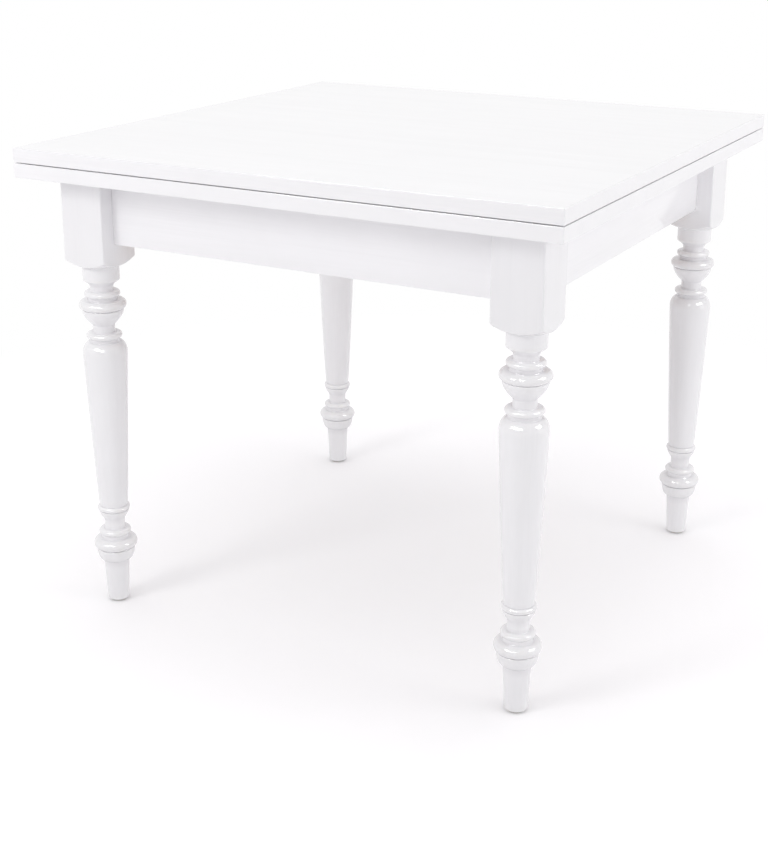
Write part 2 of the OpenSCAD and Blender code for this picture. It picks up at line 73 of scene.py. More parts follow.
MEMBER_STEPS = 41  # points along one member of the turning
OUTLINE_STEP = 0.2 * MM  # spacing at which the turning's outline is averaged
ROW_TURN = math.radians(9)  # most that the outline turns from one row to the next
ROW_GAP = 14 * MM  # most that two rows lie apart
GROOVE = 5 * MM  # width over which a groove or a crest is told from its surroundings
SHOULDER_POWER = 1 / 0.7  # how the shoulder of the block rises with the way out
SCREW_TURN = 2.4  # angle from one screw's cross to the next one's
LAMP_AIM = (0, 0, 0.45)  # the middle of the table
FLOOR_REACH = 30  # metres out to the floor's edges
FLOOR_FADE = {"From Min": 0.9, "From Max": 1.6}  # metres out, where the floor turns all white


def linear(code):
    """The linear colour of an sRGB hex value such as #F4F3F5."""
    parts = np.array([int(code[i:i + 2], 16) for i in (1, 3, 5)]) / 255
    values = np.where(parts <= 0.04045, parts / 12.92, ((parts + 0.055) / 1.055) ** 2.4)
    return tuple(float(value) for value in values)


def length(label, text, size_mm):
    """A property for a length that is given here in millimetres."""
    kind = {"min": 0, "precision": 4, "unit": "LENGTH"}
    return FloatProperty(name=label, description=text, default=size_mm * MM, **kind)


def colour(label, text, code):
    """A property for a colour that is given here as an sRGB hex value."""
    kind = {"min": 0, "max": 1, "subtype": "COLOR"}
    return FloatVectorProperty(name=label, description=text, default=linear(code), **kind)


def share(label, text, value):
    """A property for a number from 0 to 1."""
    kind = {"min": 0, "max": 1, "subtype": "FACTOR"}
    return FloatProperty(name=label, description=text, default=value, **kind)


def angle(label, text, degrees):
    """A property for an angle that is given here in degrees."""
    turn = math.radians(degrees)
    return FloatProperty(name=label, description=text, default=turn, subtype="ANGLE")


def spot(label, text, place_m):
    """A property for a place in metres."""
    kind = {"subtype": "TRANSLATION", "unit": "LENGTH"}
    return FloatVectorProperty(name=label, description=text, default=place_m, **kind)


def lamp_size(label, text, sides_m):
    """A property for the two sides of a lamp in metres."""
    kind = {"size": 2, "min": 0, "unit": "LENGTH"}
    return FloatVectorProperty(name=label, description=text, default=sides_m, **kind)


def power(label, text, watts):
    """A property for the power of a lamp."""
    return FloatProperty(name=label, description=text, default=watts, min=0, unit="POWER")


class TurningSizes(bpy.types.PropertyGroup):
    """Radii and heights of the turned leg, from the foot up"""

    peg_r: length("Peg, foot", "Radius of the peg foot at the floor", 17.4)
    peg_top_r: length("Peg, top", "Radius of the peg foot at its top", 20.8)
    peg_h: length("Peg height", "Height of the peg foot", 71)
    bell_foot_r: length("Bell, foot", "Radius of the bell at its foot", 22)
    bell_r: length("Bell, rim", "Radius of the bell at its rim", 31)
    bell_h: length("Bell height", "Height of the bell under the large bead", 21)
    bead_r: length("Bead", "Radius of the large bead", 35.5)
    bead_h: length("Bead height", "Height of the large bead", 18)
    land_r: length("Low fillet", "Radius of the fillet over the large bead", 22.8)
    land_h: length("Low fillet height", "Height of the fillet over the large bead", 6.5)
    low_ring_r: length("Lower rings", "Radius of the two lower rings", 26.2)
    low_neck_r: length("Lower neck", "Radius of the lower neck", 16.7)
    low_neck_h: length("Lower neck height", "Height of the lower neck", 14.5)
    ogee_r: length("Ogee", "Largest radius of the ogee under the vase", 24.3)
    ogee_h: length("Ogee height", "Height of the ogee under the vase", 18)
    vase_foot_r: length("Vase, foot", "Radius of the vase at its foot", 22.8)
    vase_r: length("Vase, shoulder", "Largest radius of the vase", 35.5)
    vase_round: length("Vase rounding", "Height of the vase's rounded shoulder", 19)
    fillet_r: length("Fillets", "Radius of the fillets between the rings", 23.8)
    fillet_h: length("Fillet height", "Height of a fillet between two rings", 5.5)
    ring_r: length("Upper rings", "Radius of the two upper rings", 28.3)
    ring_h: length("Ring height", "Height of each of the four rings", 9.5)
    waist_r: length("Waist", "Radius of the waist under the cup", 17.4)
    waist_h: length("Waist height", "Height of the waist under the cup", 12.5)
    cup_r: length("Cup", "Radius of the cup at its rim", 33)
    cup_h: length("Cup height", "Height of the cup under the disc", 26)
    disc_r: length("Disc", "Radius of the large disc", 37.5)
    disc_h: length("Disc height", "Height of the large disc", 15)
    neck_r: length("Upper neck", "Radius of the neck over the rings", 18.2)
    neck_h: length("Upper neck height", "Height of the neck over the rings", 6)
    flare_h: length("Cove height", "Height of the cove under the collar", 12)
    collar_r: length("Collar", "Radius of the collar under the block", 29)
    collar_h: length("Collar height", "Height of the collar", 23.5)
    block_h: length("Block height", "Height of the square block with its turned shoulder", 143)
    shoulder_h: length("Shoulder height", "Rise of the turned shoulder to the block's corners", 13)
    soft: length("Lacquer rounding", "Rounding of the turned corners by sanding and lacquer", 0.6)
    arris: length("Block arris", "Rounding of the block's upright edges", 2.5)
    edge: length("Block edge", "Rounding along the block's turned and sawn edges", 1.2)


class BoardSizes(bpy.types.PropertyGroup):
    """Sanded edges of the flat pieces"""

    apron_edge: length("Apron edges", "Width of the sanded edges of the aprons", 1.2)
    block_edge: length("Corner block edges", "Width of the planed edges of the corner blocks", 0.8)
    rail_edge: length("Rail edges", "Width of the planed edges of guides and runners", 0.5)


class FittingSizes(bpy.types.PropertyGroup):
    """Heads and threads of the screws and bolts, and the buffers"""

    head_r: length("Screw heads", "Radius of the hinge screws' flat heads", 3)
    shank_r: length("Screw shanks", "Radius of the hinge screws", 1.5)
    screw_l: length("Screw length", "Length of the hinge screws", 14)
    screw_gap: length("Screw spacing", "Distance between neighbouring hinge screws", 20)
    cross_r: length("Cross recess", "Reach of the cross recess from a screw's middle", 1.75)
    cross_w: length("Cross arms", "Half the width of the cross recess's arms", 0.45)
    cross_d: length("Cross depth", "Depth of the cross recess", 1.1)
    bolt_r: length("Bolt radius", "Radius of the hanger bolts", 4)
    bolt_l: length("Bolt length", "Length of the hanger bolts", 80.1)
    thread_l: length("Thread length", "Length of the thread cut on a bolt's free end", 14)
    pitch: length("Thread pitch", "Rise of the thread in one turn", 1.25)
    thread_d: length("Thread depth", "Depth of the thread", 0.7)
    buffer_r: length("Buffer radius", "Radius of the buffers between the leaves", 5)


class Finishes(bpy.types.PropertyGroup):
    """Colours and grades of the materials"""

    # Painted light: the boards' lacquer is set whiter than the legs' for the brighter light that
    # falls on them
    lacquer_board_painted_lit: colour("Lacquer, boards", "White lacquer of the leaves and aprons", "#FCFBFD")
    lacquer_leg: colour("Lacquer, legs", "White lacquer of the legs", "#F7F6F8")
    lacquer_thin: share("Lacquer, thin", "Tone where the spraying passes left less of it", 0.98)
    lacquer_sunk: share("Lacquer, sunk", "Tone along the grain, where it has sunk in", 0.965)
    # Painted shade, with dust: the grey that the lacquer takes deep in the turned grooves
    lacquer_groove_shade_and_dust: colour("Lacquer in hollows", "Where dust lies in the turned grooves", "#D3D0D5")
    lacquer_worn: colour("Lacquer on crests", "Where hands have thinned the lacquer", "#F2EFEB")
    lacquer_rough: share("Lacquer roughness", "Roughness under the polished coat", 0.34)
    polish: share("Lacquer gloss", "Roughness of the polished coat itself", 0.07)
    peel: length("Orange peel", "Spacing of the ripples that spraying leaves", 6)
    pore: length("Grain lines", "Spacing of the grain lines that show through", 2.5)
    beech: colour("Beech", "Planed beech", "#CFA67B")
    beech_late: colour("Beech, late wood", "The darker bands of the beech", "#B98C61")
    beech_fleck: colour("Beech flecks", "The short dark rays in the beech", "#8F6440")
    brass: colour("Brass", "Rolled brass of the hinges", "#CDA557")
    brass_dull: colour("Brass, dulled", "Brass that the air has darkened", "#9C7838")
    zinc: colour("Zinc", "Zinc plating on bolts, nuts and screws", "#B9BCC0")
    zinc_dull: colour("Zinc, dulled", "Zinc where it has gone milky", "#94979B")
    nylon: colour("Nylon", "Moulded nylon of the glides", "#D2CFCB")
    rubber: colour("Rubber", "Moulded rubber of the stops", "#232323")
    felt: colour("Felt", "Pressed wool felt of the slides", "#A8A59D")
    felt_dark: colour("Felt, fibres", "The darker fibres in the felt", "#77746D")
    buffer: colour("Buffers", "Milky soft plastic of the buffers", "#E3E6E2")


class StudioSetup(bpy.types.PropertyGroup):
    """Camera, lamps and floor"""

    camera_at: spot("Camera", "Place of the camera", (1.1424, -2.1569, 1.1597))
    yaw: angle("Yaw", "Turn of the camera to the left of straight ahead", 29.05)
    pitch: angle("Pitch", "Tilt of the camera below the horizon", 17.17)
    roll: angle("Roll", "Turn of the camera round its own line of sight", 0.08)
    lens: FloatProperty(
        name="Lens", description="Focal length on a 36 mm frame", default=63.01, unit="CAMERA",
    )
    lens_shift: FloatProperty(
        name="Shift", description="Shift of the lens, in picture heights", default=-0.1,
    )
    sky: FloatProperty(
        name="Sky", description="Strength of the even light from all round", default=0.73,
    )
    top_at: spot("Top lamp", "Place of the large lamp over the table", (0.05, 0.35, 3.2))
    top_size: lamp_size("Top lamp size", "Sides of the large lamp", (1.5, 1.5))
    top: power("Top lamp power", "Power of the large lamp over the table", 8.6)
    key_at: spot("Key lamp", "Place of the soft lamp in front at the left", (-1.1, -2.4, 1.9))
    key_size: lamp_size("Key lamp size", "Sides of the soft lamp in front", (0.8, 0.8))
    key: power("Key lamp power", "Power of the soft lamp in front at the left", 15.5)
    wall_at: spot("Wall lamp", "Place of the tall soft lamp at the right", (3.2, 0.4, 1.3))
    wall_size: lamp_size("Wall lamp size", "Sides of the tall soft lamp", (1.6, 2.2))
    wall: power("Wall lamp power", "Power of the tall soft lamp at the right", 17.5)
    near_at: spot("Near glint", "Place of the nearer glint lamp in front", (-0.57, -1.98, 1.6))
    front_at: spot("Front glint", "Place of the farther glint lamp in front", (0.6, -2.7, 1.85))
    right_at: spot("Right glint", "Place of the glint lamp at the right", (1.85, 0.1, 1.4))
    glint_size: lamp_size("Glint size", "Sides of each glint lamp", (1.0, 0.6))
    glint: power("Glint power", "Power of each lamp that shows only in the gloss", 50)
    floor: colour("Floor", "Seamless paper as it lights the table", "#F3F2F4")
    floor_seen: colour("Floor, shaded", "The paper's own light and shade in the picture", "#E7E7E7")
    floor_lit: colour("Floor, lit", "White added where the paper lies open to the sky", "#A3A0A4")


GROUPS = {
    "table_turning": TurningSizes,
    "table_boards": BoardSizes,
    "table_fittings": FittingSizes,
    "table_finishes": Finishes,
    "table_studio": StudioSetup,
}


def settings(name):
    """One of the groups of settings in the scene."""
    return getattr(bpy.context.scene, name)


def add(tree, kind, inputs=None, **values):
    """Adds a shader node, sets its values, and sets or links its inputs by name or number. An
    input that is given a node takes the first output which that node has in use. Of a Mix node
    for colours, 0 is the factor, and 6 and 7 are the two colours.
    """
    made = tree.nodes.new("ShaderNode" + kind)
    for key, value in values.items():
        setattr(made, key, value)
    for key, value in (inputs or {}).items():
        if isinstance(value, bpy.types.Node):
            value = next(output for output in value.outputs if output.enabled)
        if isinstance(value, bpy.types.NodeSocket):
            tree.links.new(value, made.inputs[key])
        else:
            made.inputs[key].default_value = value
    return made


def rgba(value, tone=1.0):
    """A colour times a tone, with full opacity."""
    return (*(min(1, tone * part) for part in value), 1)


def material_for(name, finish, *arguments):
    """The material of that name. It is made on its first use: `finish` adds its nodes, which
    read Object coordinates, and gives its shader.
    """
    made = bpy.data.materials.get(name)
    if not made:
        made = bpy.data.materials.new(name)
        made.use_nodes = True
        tree = made.node_tree
        tree.nodes.clear()
        at = add(tree, "TexCoord").outputs["Object"]
        add(tree, "OutputMaterial", {"Surface": finish(tree, at, *arguments)})
    return made


def sprayed_lacquer(tree, at, grain, white):
    """Polished white lacquer, sprayed over primed and sanded wood. `grain` shrinks the pattern's
    coordinates along the wood's grain, which draws it out that way.
    """
    f = settings("table_finishes")
    # Sprayed coats differ a little in thickness from pass to pass: broad, faint clouds of tone
    clouds = add(tree, "TexNoise", {"Vector": at, "Scale": 1 / (140 * MM), "Detail": 3})
    clouds = add(tree, "MapRange", {"Value": clouds, **MIDDLE})
    thin = rgba(white, f.lacquer_thin)
    tone = add(tree, "Mix", {0: clouds, 6: rgba(white), 7: thin}, data_type="RGBA")
    # The grain sinks through the coats as long faint lines 2.5 mm apart, in bands 25 mm wide
    along = add(tree, "Mapping", {"Vector": at, "Scale": grain})
    lines = add(tree, "TexNoise", {"Vector": along, "Scale": 1 / f.pore, **FIBROUS})
    bands = add(tree, "TexNoise", {"Vector": along, "Scale": 1 / (25 * MM)})
    sunk = add(tree, "Math", {0: lines, 1: bands}, operation="MULTIPLY")
    sunk = add(tree, "MapRange", {"Value": sunk, "From Min": 0.2, "From Max": 0.42})
    low = rgba(white, f.lacquer_sunk)
    tone = add(tree, "Mix", {0: sunk, 6: tone, 7: low}, data_type="RGBA")
    # Painted shade in the grooves, with dust: the lacquer turns grey where a row lies deep in a
    # groove
    hollow = add(tree, "Attribute", attribute_name="hollow").outputs["Fac"]
    tone = add(tree, "Mix", {0: hollow, 6: tone, 7: rgba(f.lacquer_groove_shade_and_dust)}, data_type="RGBA")
    # The crests of the rings are handled and wiped, in patches of 14 mm
    crest = add(tree, "Attribute", attribute_name="crest").outputs["Fac"]
    patches = add(tree, "TexNoise", {"Vector": at, "Scale": 1 / (14 * MM), **BLOTCHY})
    patches = add(tree, "MapRange", {"Value": patches, **UPPER})
    worn = add(tree, "Math", {0: crest, 1: patches}, operation="MULTIPLY")
    tone = add(tree, "Mix", {0: worn, 6: tone, 7: rgba(f.lacquer_worn)}, data_type="RGBA")
    # Spraying leaves ripples of 1 to 2 mm, drawn coarser here so that they show in the gloss
    ripple = add(tree, "TexNoise", {"Vector": at, "Scale": 1 / f.peel, "Detail": 1})
    ripple = add(tree, "Bump", {"Height": ripple, "Distance": 0.01 * MM})
    relief = add(tree, "Bump", {"Height": lines, "Distance": 0.012 * MM, "Normal": ripple})
    # Wiping leaves the gloss a little uneven, in smears of 40 mm
    smears = add(tree, "TexNoise", {"Vector": at, "Scale": 1 / (40 * MM), **BLOTCHY})
    rough = {"To Min": f.lacquer_rough - 0.05, "To Max": f.lacquer_rough + 0.05}
    return add(tree, "BsdfPrincipled", {
        "Base Color": tone, "IOR": 1.5, "Specular IOR Level": 0,
        "Roughness": add(tree, "MapRange", {"Value": smears, **WHOLE, **rough}),
        "Coat Weight": 1, "Coat Roughness": f.polish, "Normal": relief, "Coat Normal": ripple,
    })


def planed_beech(tree, at, turn):
    """Planed beech, unfinished: pale bands along the grain with short dark ray flecks. The grain
    lies along y, turned back by `turn`.
    """
    f = settings("table_finishes")
    at = add(tree, "Mapping", {"Vector": at, "Rotation": (0, 0, turn)})
    # Growth bands are 6 mm wide and a hand long
    along = add(tree, "Mapping", {"Vector": at, "Scale": (1, 0.05, 1)})
    bands = add(tree, "TexNoise", {"Vector": along, "Scale": 1 / (6 * MM), **BLOTCHY})
    bands = add(tree, "MapRange", {"Value": bands, **MIDDLE})
    tone = {0: bands, 6: rgba(f.beech), 7: rgba(f.beech_late)}
    tone = add(tree, "Mix", tone, data_type="RGBA")
    # Pores are 0.5 mm wide, drawn 1 mm wide
    along = add(tree, "Mapping", {"Vector": at, "Scale": (1, 0.04, 1)})
    pores = add(tree, "TexNoise", {"Vector": along, "Scale": 1 / (1 * MM)})
    pores = add(tree, "MapRange", {"Value": pores, **HIGHEST})
    seen = add(tree, "MapRange", {"Value": pores, "To Max": 0.3})
    tone = add(tree, "Mix", {0: seen, 6: tone, 7: rgba(f.beech_fleck)}, data_type="RGBA")
    # Flecks are 1 by 6 mm, one in each cell of 3.4 by 20 mm
    along = add(tree, "Mapping", {"Vector": at, "Scale": (1, 0.17, 1)})
    flecks = add(tree, "TexVoronoi", {"Vector": along, "Scale": 1 / (3.4 * MM)})
    fading = {"From Min": 0.12, "From Max": 0.26, "To Min": 0.5, "To Max": 0}
    seen = add(tree, "MapRange", {"Value": flecks, **fading})
    tone = add(tree, "Mix", {0: seen, 6: tone, 7: rgba(f.beech_fleck)}, data_type="RGBA")
    return add(tree, "BsdfPrincipled", {
        "Base Color": tone, "IOR": 1.5,
        "Roughness": add(tree, "MapRange", {"Value": pores, "To Min": 0.5, "To Max": 0.7}),
        "Normal": add(tree, "Bump", {"Height": pores, "Distance": 0.1 * MM, "Strength": 0.5}),
    })


def drawn_metal(tree, at, bright, dull, stretch, grit, rough):
    """Bare or plated metal: fine drawn lines, and patches of 9 mm that the air has dulled."""
    # The lines are under 0.1 mm wide, drawn as wide as `grit` so that they show
    along = add(tree, "Mapping", {"Vector": at, "Scale": stretch})
    lines = add(tree, "TexNoise", {"Vector": along, "Scale": 1 / grit, **FIBROUS})
    blots = {"Vector": at, "Scale": 1 / (9 * MM), "Detail": 4, "Roughness": 0.65}
    patches = add(tree, "MapRange", {"Value": add(tree, "TexNoise", blots), **UPPER})
    tone = {0: patches, 6: rgba(bright), 7: rgba(dull)}
    satin = {"Value": lines, **WHOLE, "To Min": rough - 0.06, "To Max": rough + 0.1}
    return add(tree, "BsdfPrincipled", {
        "Base Color": add(tree, "Mix", tone, data_type="RGBA"), "Metallic": 1,
        "Roughness": add(tree, "MapRange", satin),
        "Normal": add(tree, "Bump", {"Height": lines, "Distance": 0.02 * MM, "Strength": 0.4}),
    })


def rolled_brass(tree, at):
    """Rolled brass, tumbled to a satin: warm, with lines along the rolling and brown patches."""
    f = settings("table_finishes")
    return drawn_metal(tree, at, f.brass, f.brass_dull, (0.08, 1, 1), 0.6 * MM, 0.3)


def zinc_plate(tree, at):
    """Electroplated zinc on steel: cool grey, with a milky bloom."""
    f = settings("table_finishes")
    return drawn_metal(tree, at, f.zinc, f.zinc_dull, (1, 1, 1), 0.8 * MM, 0.38)


def moulded_nylon(tree, at):
    """Moulded nylon, dulled by the floor: a little milky, with scuffs of 1.5 mm."""
    f = settings("table_finishes")
    marks = {"Vector": at, "Scale": 1 / (1.5 * MM), "Detail": 4, "Roughness": 0.7}
    scuffs = add(tree, "TexNoise", marks)
    scuffs = add(tree, "MapRange", {"Value": scuffs, "From Min": 0.35, "From Max": 0.7})
    tone = {0: scuffs, 6: rgba(f.nylon), 7: rgba(f.nylon, DUSTY)}
    return add(tree, "BsdfPrincipled", {
        "Base Color": add(tree, "Mix", tone, data_type="RGBA"), "IOR": 1.53,
        "Roughness": add(tree, "MapRange", {"Value": scuffs, "To Min": 0.4, "To Max": 0.65}),
        "Subsurface Weight": 0.15, "Subsurface Scale": 1 * MM,
        "Normal": add(tree, "Bump", {"Height": scuffs, "Distance": 0.05 * MM, "Strength": 0.6}),
    })


def moulded_rubber(tree, at):
    """Moulded black rubber: matt, with a skin pebbled by 0.7 mm and a grey bloom by 5 mm."""
    f = settings("table_finishes")
    bloom = add(tree, "TexNoise", {"Vector": at, "Scale": 1 / (5 * MM), "Detail": 3})
    bloom = add(tree, "MapRange", {"Value": bloom, **UPPER})
    pebble = add(tree, "TexNoise", {"Vector": at, "Scale": 1 / (0.7 * MM)})
    tone = {0: bloom, 6: rgba(f.rubber), 7: rgba(f.rubber, 1.8)}
    return add(tree, "BsdfPrincipled", {
        "Base Color": add(tree, "Mix", tone, data_type="RGBA"), "IOR": 1.52,
        "Roughness": add(tree, "MapRange", {"Value": bloom, "To Min": 0.65, "To Max": 0.85}),
        "Normal": add(tree, "Bump", {"Height": pebble, "Distance": 0.08 * MM, "Strength": 0.7}),
    })


def wool_felt(tree, at):
    """Pressed wool felt: matted fibres, darker and lighter, under a soft nap."""
    f = settings("table_finishes")
    # Fibres are 0.03 mm thick, drawn as strands 0.5 mm wide in two crossing directions
    strands = []
    for turn in (0.5, -0.7):
        turned = add(tree, "Mapping", {"Vector": at, "Rotation": (0, 0, turn)})
        along = add(tree, "Mapping", {"Vector": turned, "Scale": (1, 0.15, 1)})
        fine = {"Vector": along, "Scale": 1 / (0.5 * MM), "Detail": 3, "Roughness": 0.7}
        strands.append(add(tree, "TexNoise", fine))
    fibres = add(tree, "Math", dict(enumerate(strands)), operation="MAXIMUM")
    dark = add(tree, "MapRange", {"Value": fibres, **HIGHEST})
    tone = {0: dark, 6: rgba(f.felt), 7: rgba(f.felt_dark)}
    return add(tree, "BsdfPrincipled", {
        "Base Color": add(tree, "Mix", tone, data_type="RGBA"),
        "Roughness": 0.95, "IOR": 1.4, "Sheen Weight": 0.4, "Sheen Roughness": 0.5,
        "Normal": add(tree, "Bump", {"Height": fibres, "Distance": 0.3 * MM, "Strength": 0.8}),
    })


def milky_plastic(tree, at):
    """Soft milky plastic, cast as small domes: greyer and duller in specks of dust, 0.8 mm wide."""
    f = settings("table_finishes")
    dust = add(tree, "TexNoise", {"Vector": at, "Scale": 1 / (0.8 * MM), "Detail": 3})
    dust = add(tree, "MapRange", {"Value": dust, "From Min": 0.45, "From Max": 0.75})
    tone = {0: dust, 6: rgba(f.buffer), 7: rgba(f.buffer, DUSTY)}
    return add(tree, "BsdfPrincipled", {
        "Base Color": add(tree, "Mix", tone, data_type="RGBA"), "IOR": 1.48,
        "Roughness": add(tree, "MapRange", {"Value": dust, "To Min": 0.12, "To Max": 0.45}),
        "Subsurface Weight": 0.4, "Subsurface Scale": 1 * MM,
    })


def smooth_surface(name, points, attributes=None):
    """A closed surface from a grid of points, or one from each grid of a stack. Rows run up it,
    columns run round it to the left, and the first and last rows are single points that close
    the two ends.
    """
    points = points.reshape(-1, *points.shape[-3:])
    copies, rows, columns = points.shape[:3]
    middle = points[:, 1:-1].reshape(copies, -1, 3)
    verts = np.concatenate([points[:, :1, 0], middle, points[:, -1:, 0]], axis=1)
    ring = 1 + np.arange((rows - 2) * columns).reshape(rows - 2, columns)
    after = np.roll(ring, -1, axis=1)
    quads = np.stack([ring[:-1], after[:-1], after[1:], ring[1:]], -1).reshape(-1, 4)
    first = np.stack([np.zeros_like(ring[0]), after[0], ring[0]], -1)
    last = np.stack([np.full_like(ring[-1], verts.shape[1] - 1), ring[-1], after[-1]], -1)
    start = verts.shape[1] * np.arange(copies)[:, None, None]
    quads = (start + quads).reshape(-1, 4).tolist()
    ends = (start + np.concatenate([first, last])).reshape(-1, 3).tolist()
    mesh = bpy.data.meshes.new(name)
    mesh.from_pydata(verts.reshape(-1, 3).tolist(), [], quads + ends)
    mesh.shade_smooth()
    for key, values in (attributes or {}).items():
        spots = np.concatenate([values[:1, 0], values[1:-1].ravel(), values[-1:, 0]])
        shade = mesh.attributes.new(key, "FLOAT", "POINT")
        shade.data.foreach_set("value", spots.astype(np.float32))
    made = bpy.data.objects.new(name, mesh)
    bpy.context.scene.collection.objects.link(made)
    return made


def finish_piece(piece, body, material, node):
    """Gives a new piece its material and body, and hides the node that it stands for."""
    piece.data.materials.clear()
    piece.data.materials.append(material)
    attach(piece, body)
    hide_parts(node)


def dress_node(name, material):
    """Gives a node of the frame another material."""
    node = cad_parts[name]
    node.data.materials.clear()
    node.data.materials.append(material)


def stretch_of(z, height, r0, r1, shape):
    """One member of the turning: its radius goes from one value to another by the share that
    `shape` gives, from 0 to 1, for the share of the height.
    """
    t = np.linspace(0, 1, MEMBER_STEPS)
    return np.stack([r0 + (r1 - r0) * shape(t), z + height * t], -1)


def ring_of(z, height, rim):
    """A ring whose rim is a half circle as high as the ring."""
    half = height / 2
    turn = np.linspace(-math.pi / 2, math.pi / 2, MEMBER_STEPS)
    return np.stack([rim - half + half * np.cos(turn), z + half + half * np.sin(turn)], -1)


def straight(t):
    """An even taper: the share itself."""
    return t


def dome(t):
    """A quarter circle that starts flat and ends upright: its height at 1 - t from its middle."""
    return np.sqrt(1 - (1 - t) ** 2)


def dome_in(t):
    """A quarter circle that starts upright and ends flat: 1 less its height at t."""
    return 1 - np.sqrt(1 - t ** 2)


def cove(t):
    """A hollow that starts upright and sweeps out: 1 less the cosine of t quarter turns."""
    return 1 - np.cos(t * math.pi / 2)


def bowl(t):
    """A belly that starts wide and ends upright: the sine of t quarter turns."""
    return np.sin(t * math.pi / 2)


def ogee(t):
    """A double curve, upright at both ends: half of 1 less the cosine of t half turns."""
    return (1 - np.cos(t * math.pi)) / 2


def swell(t):
    """A taper with a slight belly: t to the power 0.85."""
    return t ** 0.85


def turning_members(s, foot_z, block_z):
    """The members of the turning from the foot to the block, end to end, as one outline of
    (radius, height). The vase takes the height that the others leave.
    """
    below = [
        (s.peg_h, s.peg_r, s.peg_top_r, straight),
        (s.bell_h, s.bell_foot_r, s.bell_r, dome),
        (s.bead_h, s.bead_r),
        (s.land_h, s.land_r, s.land_r, straight),
        (s.ring_h, s.low_ring_r),
        (s.low_neck_h, s.low_neck_r, s.low_neck_r, straight),
        (s.ogee_h, s.low_neck_r, s.ogee_r, ogee),
        (s.ring_h, s.low_ring_r),
    ]
    above = [
        (s.fillet_h, s.fillet_r, s.fillet_r, straight),
        (s.ring_h, s.ring_r),
        (s.waist_h, s.waist_r, s.waist_r, straight),
        (s.cup_h, s.waist_r, s.cup_r, bowl),
        (s.disc_h, s.disc_r),
        (s.fillet_h, s.fillet_r, s.fillet_r, straight),
        (s.ring_h, s.ring_r),
        (s.neck_h, s.neck_r, s.neck_r, straight),
        (s.flare_h, s.neck_r, s.collar_r, cove),
        (s.collar_h, s.collar_r, s.collar_r, straight),
    ]
    used = sum(member[0] for member in below + above)
    taper = block_z - foot_z - used - s.vase_round
    vase = [
        (taper, s.vase_foot_r, s.vase_r, swell),
        (s.vase_round, s.vase_r, s.fillet_r, dome_in),
    ]
    outline = [np.array([[0, foot_z], [s.peg_r, foot_z]])]
    z = foot_z
    for height, radius, *rest in below + vase + above:
        member = stretch_of if rest else ring_of
        outline.append(member(z, height, radius, *rest))
        z += height
    return np.concatenate(outline)


def walked(outline):
    """The distance along an outline at each of its points: the sum of the steps up to there."""
    return np.concatenate([[0], np.cumsum(np.hypot(*np.diff(outline, axis=0).T))])


def blurred(values, step, width):
    """Averages equally spaced values over a bell curve of that width. Past both ends the values
    go on as their mirror image turned upside down.
    """
    reach = int(math.ceil(3 * width / step))
    bell = np.exp(-0.5 * (np.arange(-reach, reach + 1) * step / width) ** 2)
    padded = np.pad(values, reach, mode="reflect", reflect_type="odd")
    return np.convolve(padded, bell / bell.sum(), mode="valid")


def softened_outline(outline, soft, groove):
    """Rounds the outline's corners, as sanding and lacquer do, by averaging it over a short way.
    Rows are then picked so that neither the turn nor the gap between two is large. Also gives how
    deep each row lies in a groove and how far it stands out on a crest, from 0 to 1: its radius
    against the mean radius nearby.
    """
    step = OUTLINE_STEP
    way = walked(outline)
    even = np.arange(0, way[-1], step)
    even = np.append(even, way[-1]) if way[-1] - even[-1] > step / 2 else even
    r = blurred(np.interp(even, way, outline[:, 0]), step, soft)
    z = blurred(np.interp(even, way, outline[:, 1]), step, soft)
    r[0] = 0
    offset = (blurred(r, step, groove) - r) / groove
    heading = np.unwrap(np.arctan2(np.gradient(z), np.gradient(r)))
    cost = np.cumsum(np.abs(np.gradient(heading)) / ROW_TURN + step / ROW_GAP)
    rows = np.interp(np.arange(0, cost[-1], 1), cost, even)
    rows[0] = 0
    rows = np.append(rows, even[-1])
    r, z, offset = (np.interp(rows, even, values) for values in (r, z, offset))
    return r, z, np.clip(offset, 0, 1), np.clip(-offset, 0, 1)


def square_radius(turn, half, arris):
    """Distance from the middle of a square with rounded corners to its side, in the direction
    turn: the side's distance over the cosine, or where the corner's circle is met.
    """
    off = np.abs((turn + math.pi / 4) % (math.pi / 2) - math.pi / 4)
    centre = half - arris
    reach = math.sqrt(2) * centre
    lean = math.pi / 4 - off
    side = half / np.cos(off)
    beside = np.maximum(arris ** 2 - (reach * np.sin(lean)) ** 2, 0)
    corner = reach * np.cos(lean) + np.sqrt(beside)
    return np.where(np.tan(off) * half <= centre, side, corner)


def directions():
    """Directions round a leg: even steps, and closer ones at the block's four upright edges."""
    even = np.arange(96) * math.tau / 96
    near = np.abs((even % (math.pi / 2)) - math.pi / 4) < math.radians(3)
    edge = np.radians([-3, -2.3, -1.6, -0.8, 0, 0.8, 1.6, 2.3, 3])
    corners = (math.pi / 4 + np.arange(4) * math.pi / 2)[:, None] + edge
    return np.sort(np.concatenate([even[~near], corners.ravel()]))


def columns_round(count):
    """Evenly spaced directions, that many in a full turn."""
    return np.linspace(0, math.tau, count, endpoint=False)


def rounded_join(before, corner, after, steps):
    """Rounds a corner of each column: the curve from one point to another with the corner as its
    control point.
    """
    t = np.linspace(0, 1, steps)[:, None, None]
    return (1 - t) ** 2 * before + 2 * t * (1 - t) * corner + t ** 2 * after


